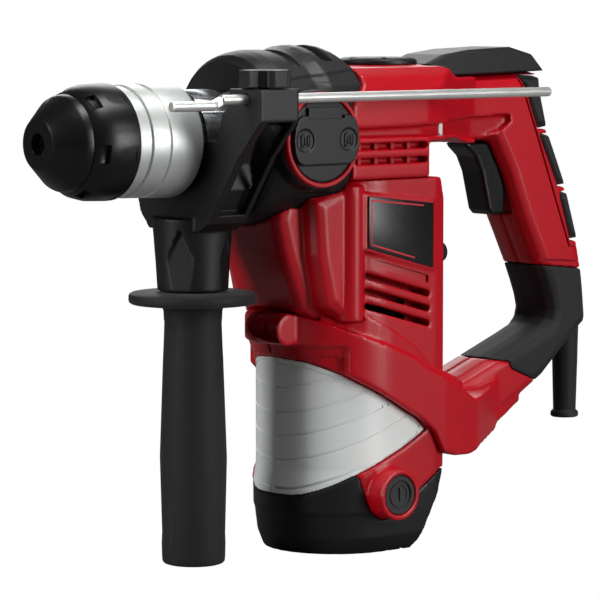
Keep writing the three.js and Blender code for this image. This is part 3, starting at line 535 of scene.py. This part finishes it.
applyModifier(cover, "DECIMATE", ratio=0.5)
finishPiece(cover, "gearCoverShell", "frame", blackNylon, ["gear_cover"])
print("gear cover done")

# soft grip, trigger, cap, cord boot
elbow = moulded("elbow_pad", cell=0.7, passes=8, ratio=0.7)
finishPiece(elbow, "elbowPadSkin", "frame", gripRubber, ["elbow_pad"])
for number in (1, 2, 3):
    pad = moulded(f"grip_pad_{number}", cell=0.6, passes=8, ratio=0.6)
    finishPiece(pad, f"gripPadSkin{number}", "frame", gripRubber, [f"grip_pad_{number}"])
trigger = moulded("trigger", cell=0.5, passes=8, ratio=0.6)
finishPiece(trigger, "triggerLever", "trigger_body", satinAcetal, ["trigger"])
topCap = moulded("top_cap", cell=0.5, passes=3, ratio=0.6)
finishPiece(topCap, "topCapShell", "frame", blackNylon, ["top_cap"])
boot = turnedPiece([(49, 0), (49, 6.9), (49.7, 7.6), (51.4, 7.6), (52.2, 7.1), (53, 6.2), (80, 6.9),
                    (103.7, 7.4), (104, 7), (104, 0)],
                   "z", (167, 0, 0), 64)
finishPiece(boot, "cordBootSleeve", "frame", gripRubber, ["cord_boot"])
knob = turnedPiece([(36.5, 0), (36.5, 4), (41.1, 4), (41.1, 6), (44.6, 5.9), (46.6, 5), (47.6, 3),
                    (47.9, 0)], "x", (0, -30, 147.5), 64)
finishPiece(knob, "directionKnobCap", "direction_switch", blackNylon, ["direction_knob"])
grease = turnedPiece([(236, 0), (236, 15.5), (243.9, 15.5), (243.9, 20.4), (244.6, 20.6), (245.8, 20.3),
                      (246.6, 19.4), (247.2, 17.6), (247.4, 15), (247.4, 0)], "z", (29, 0, 0), 96)
for turn in range(6):
    notch = blockPiece(29 + 13, 29 + 18.6, -1.4, 1.4, 246.4, 249)
    turnPiece(notch, math.radians(60 * turn), "Z", (29, 0, 240))
    shape(grease, "DIFFERENCE", notch)
finishPiece(grease, "greaseCapDome", "frame", blackNylon, ["grease_cap"])
print("handle fittings done")

# chuck
dust = turnedPiece([(-187, 5.4), (-187, 12), (-186.4, 12.9), (-175.2, 22.6), (-173.6, 23.3),
                    (-171, 23.6), (-171, 11.5),
                    (-182.7, 11.5), (-182.7, 5.2), (-186.6, 5.2)], "x", chuckAt, 128)
finishPiece(dust, "dustCapCone", "chuck", satinAcetal, ["dust_cap"])
collar = turnedPiece([(-170.5, 17), (-170.5, 23.6), (-170, 24.2), (-166, 26.6), (-160, 28.1),
                      (-149, 28.5), (-146.6, 28.4),
                      (-146, 27.9), (-146, 27.4), (-161.5, 27.4), (-161.5, 17)], "x", chuckAt, 128)
for turn in range(6):
    dent = blockPiece(-168.6, -163.2, -4.6, 4.6, spindleZ + 24.2, spindleZ + 32)
    roundEdges(dent, width=0.5, segments=2)
    turnPiece(dent, math.radians(60 * turn + 20), "X", chuckAt)
    mark = blockPiece(-162.4, -149, -4.6, 4.6, spindleZ + 28.15, spindleZ + 32)
    turnPiece(mark, math.radians(60 * turn + 20), "X", chuckAt)
    shape(collar, "DIFFERENCE", dent, mark)
finishPiece(collar, "lockCollarRing", "collar", satinAcetal, ["lock_collar"])
sleeve = turnedPiece([(-154, 14.4), (-154, 27), (-139.9, 27), (-139.6, 26.7), (-139.6, 26.4),
                      (-138.2, 26.4), (-138.2, 27.3),
                      (-137.9, 27.6), (-130, 27.8), (-129.4, 27), (-127.6, 27), (-127, 27.9),
                      (-110.3, 28.5), (-109.4, 28.3), (-108, 27.4), (-108, 14.4)], "x", chuckAt, 128)
finishPiece(sleeve, "chuckSleeveBlasted", "chuck", blastedAluminium, ["chuck_sleeve"])
teeth = turnedPiece([(-107.7, 17.6), (-107.7, 25.6), (-107.3, 26), (-105.7, 26), (-105.3, 25.6),
                     (-105.3, 17.6)], "x", chuckAt, 128)
for turn in range(20):
    tooth = blockPiece(-108.4, -104, -1.2, 1.2, spindleZ + 24.4, spindleZ + 30)
    turnPiece(tooth, math.radians(18 * turn), "X", chuckAt)
    shape(teeth, "DIFFERENCE", tooth)
finishPiece(teeth, "toothRingBlack", "frame", blackNylon, ["tooth_ring"])
print("chuck done")

# side handle with its depth rod
bracketPiece = cadCopy("side_bracket")
pocket = outlinePiece([(-72, 214), (-52, 197), (-33, 170), (-26, 174), (-45, 203), (-56, 219),
                       (-66, 219)], "x", gripX - 7, gripX + 9)
shape(bracketPiece, "DIFFERENCE", pocket)
neckTop = turnedPiece([(133.6, 0), (133.6, 17.6), (140, 18), (160, 19.4), (171, 20.4), (171, 0)], "z",
                      (gripX, 0, 0), 96)
shape(neckTop, "INTERSECT", blockPiece(gripX - 20, gripX + 16.9, -20, 20, 130, 170))
for turn in (-32, 58, 148, 238):
    arch = outlinePiece([(-9.5, 132), (9.5, 132), (9, 142), (6.5, 152), (0, 165), (-6.5, 152),
                         (-9, 142)], "y", -30, -17)
    for corner in arch.data.vertices:
        corner.co.x += gripX * mm
    turnPiece(arch, math.radians(turn), "Z", (gripX, 0, 150))
    shape(neckTop, "DIFFERENCE", arch)
shape(neckTop, "DIFFERENCE", turnedPiece([(100, 0), (100, 14), (160, 14), (160, 0)], "z", (gripX, 0, 0),
                                         48))
shape(bracketPiece, "DIFFERENCE", blockPiece(gripX - 22, gripX + 22, -22, 22, 125, 163.5))
bracketPiece = joined(bracketPiece, neckTop)
melt(bracketPiece, cell=0.6, passes=4)
applyModifier(bracketPiece, "DECIMATE", ratio=0.5)
finishPiece(bracketPiece, "sideBracketArm", "side_handle", blackNylon, ["side_bracket"])
grip = turnedPiece([(-3.3, 0), (-3.3, 13.6), (-2.9, 14.8), (-1.9, 15.6), (0, 15.8), (50, 17),
                    (100, 15.4), (120, 14.5), (123.5, 14.7), (125.4, 15.4),
                    (126.3, 17), (127, 30.6), (127.6, 31.6), (128.6, 32), (130.8, 32), (131.8, 31.6),
                    (132.4, 30.6), (133, 18), (133, 4.7),
                    (90, 4.7), (90, 0)], "z", (gripX, 0, 0), 128)
for turn in (-72, 108):
    window = outlinePiece([(-8.5, 12), (-7, 8), (7, 8), (8.5, 12), (8.5, 116), (7, 119), (-7, 119),
                           (-8.5, 116)], "y", -40, -10)
    for corner in window.data.vertices:
        corner.co.x += gripX * mm
    shape(window, "DIFFERENCE", turnedPiece([(-10, 0), (-10, 15), (0, 15.2), (50, 16.3), (100, 14.8),
                                             (125, 14), (125, 0)], "z", (gripX, 0, 0), 96))
    turnPiece(window, math.radians(turn), "Z", (gripX, 0, 60))
    shape(grip, "DIFFERENCE", window)
roundEdges(grip, width=0.3, segments=2, angle=40)
finishPiece(grip, "sideGripSleeve", "side_grip_body", gripRubber, ["side_grip"])
cross = moulded("cross_knob", cell=0.4, passes=6, ratio=0.6)
finishPiece(cross, "crossKnobLobed", "rod_clamp", blackNylon, ["cross_knob"])
rodBar = moulded("depth_rod", cell=0.35, passes=3, ratio=0.5)
finishPiece(rodBar, "depthRodBar", "stop_rod", zincSteel, ["depth_rod"])
band = turnedPiece([(-9.6, 21.8), (-10, 22.4), (-10, 24.1), (-9.6, 24.5), (9.6, 24.5), (10, 24.1),
                    (10, 22.4), (9.6, 21.8)], "x",
                   (gripX, 0, spindleZ), 128)
shape(band, "UNION", cadCopy("clamp_band"))
finishPiece(band, "clampBandStrip", "side_handle", groundSteel, ["clamp_band"])
print("side handle done")

# mode selector
knobAt = (knobX, 0, spindleZ)
redRing = turnedPiece([(-50.1, 21.3), (-50.5, 21.8), (-50.5, 23), (-50.1, 23.5), (-47.3, 23.5),
                       (-47.3, 21.3)], "y", knobAt, 128)
finishPiece(redRing, "selectorRingRed", "frame", redNylon, ["selector_ring"])
dial = cadCopy("selector_knob")
for spot in (-14, 14):
    disc = turnedPiece([(-60, 0), (-60, 5.6), (-52.2, 5.6), (-52.2, 0)], "y",
                       (knobX + spot, 0, spindleZ), 64)
    shape(dial, "DIFFERENCE", disc)
    for bar, tall in ((-2, 3), (0, 1.6), (2, 2.4)):
        shape(dial, "UNION", blockPiece(knobX + spot + bar - 0.5, knobX + spot + bar + 0.5, -52.9, -51.8,
                                        spindleZ - tall, spindleZ + tall))
melt(dial, cell=0.35, passes=3)
applyModifier(dial, "DECIMATE", ratio=0.5)
finishPiece(dial, "selectorDial", "selector", blackNylon, ["selector_knob"])
button = moulded("selector_button", cell=0.35, passes=5, ratio=0.6)
finishPiece(button, "selectorUnlock", "selector_release", blackNylon, ["selector_button"])
print("selector done")

# rating plate, lettering left out
plate = {"corners": [(-15, 179), (29, 174), (29, 141), (-15, 153)]}
for side, sign in (("left", -1), ("right", 1)):
    face = outlinePiece(plate["corners"], "y", *sorted((sign * 42.9, sign * 43.7)))
    roundEdges(face, width=0.5, segments=3)
    finishPiece(face, "ratingPlate" + side.title(), "frame", labelBlack, ["label_" + side])
    frameLines = [[(-13.2, 176.9), (-13.2, 154.6)], [(-13.2, 176.9), (22, 173)],
                  [(-13.2, 154.7), (16, 146.7)]]
    span = sorted((sign * 43.6, sign * 43.76))
    lines = [outlinePiece(strip(line, 0.8), "y", *span) for line in frameLines]
    finishPiece(joined(*lines), "ratingBorder" + side.title(), "frame", labelRed)
print("labels done")

# studio
pick()
bpy.ops.mesh.primitive_plane_add(size=floorSize, location=(0, 0, 0))
floor = bpy.context.object
bpy.ops.object.mode_set(mode="EDIT")
bpy.ops.mesh.subdivide(number_cuts=3)
bpy.ops.object.mode_set(mode="OBJECT")
paper = bpy.data.materials.new("paperSeamlessWhite")
paper.use_nodes = True
paperTree = paper.node_tree
paperTree.nodes["Principled BSDF"].inputs["Base Color"].default_value = linearColour("#6E6E6E")
paperTree.nodes["Principled BSDF"].inputs["Roughness"].default_value = 0.9
lit = addNode(paperTree, "ShaderNodeEmission", values={"Color": (1, 1, 1, 1), "Strength": 1.0})
which = addNode(paperTree, "ShaderNodeLightPath")
both = addNode(paperTree, "ShaderNodeMixShader", {0: which.outputs["Is Camera Ray"],
                                                  1: paperTree.nodes["Principled BSDF"].outputs[0],
                                                  2: lit.outputs[0]})
paperTree.links.new(both.outputs[0], paperTree.nodes["Material Output"].inputs["Surface"])
floor.data.materials.append(paper)
floor.name = "studioFloor"

studio = bpy.data.worlds.new("studio")
scene.world = studio
studio.use_nodes = True
air = studio.node_tree
air.nodes.clear()
seen = addNode(air, "ShaderNodeBackground", values={"Color": (1, 1, 1, 1), "Strength": 1.0})
cast = addNode(air, "ShaderNodeBackground", values={"Color": (1, 1, 1, 1), "Strength": 0.06})
ray = addNode(air, "ShaderNodeLightPath")
either = addNode(air, "ShaderNodeMixShader", {0: ray.outputs["Is Camera Ray"], 1: cast.outputs[0],
    2: seen.outputs[0]})
addNode(air, "ShaderNodeOutputWorld", {"Surface": either.outputs[0]})

def softbox(name, spot, target, width, height, power):
    bpy.ops.object.light_add(type="AREA", location=spot)
    lamp = bpy.context.object
    lamp.name = name
    lamp.data.shape = "RECTANGLE"
    lamp.data.size, lamp.data.size_y, lamp.data.energy = width, height, power
    lamp.rotation_euler = (Vector(target) - Vector(spot)).to_track_quat("-Z", "Y").to_euler()

aim = Vector((0, 0, 0.13))
softbox("softboxLeft", (-1.5, 0.25, 0.6), aim, width=0.45, height=1.1, power=15)
softbox("softboxRight", (0.55, -1.45, 0.45), aim, width=0.4, height=1.1, power=17)
softbox("softboxTop", (0.1, -0.3, 1.4), aim, width=0.9, height=0.5, power=13)
softbox("softboxBack", (0.8, 1.2, 0.9), aim, width=0.8, height=0.8, power=6)

aimPoint = Vector((-0.0233, 0, 0.1277))
swing, lift, reach = math.radians(-40.3), math.radians(5.3), 1.683
eye = aimPoint + reach * Vector((math.sin(swing) * math.cos(lift), -math.cos(swing) * math.cos(lift),
                                 math.sin(lift)))
bpy.ops.object.camera_add(location=eye)
camera = bpy.context.object
camera.data.sensor_width, camera.data.lens = 36, 198
camera.data.clip_start, camera.data.clip_end = 0.05, 100
camera.rotation_euler = (aimPoint - eye).to_track_quat("-Z", "Y").to_euler()
scene.camera = camera
print("studio ready")
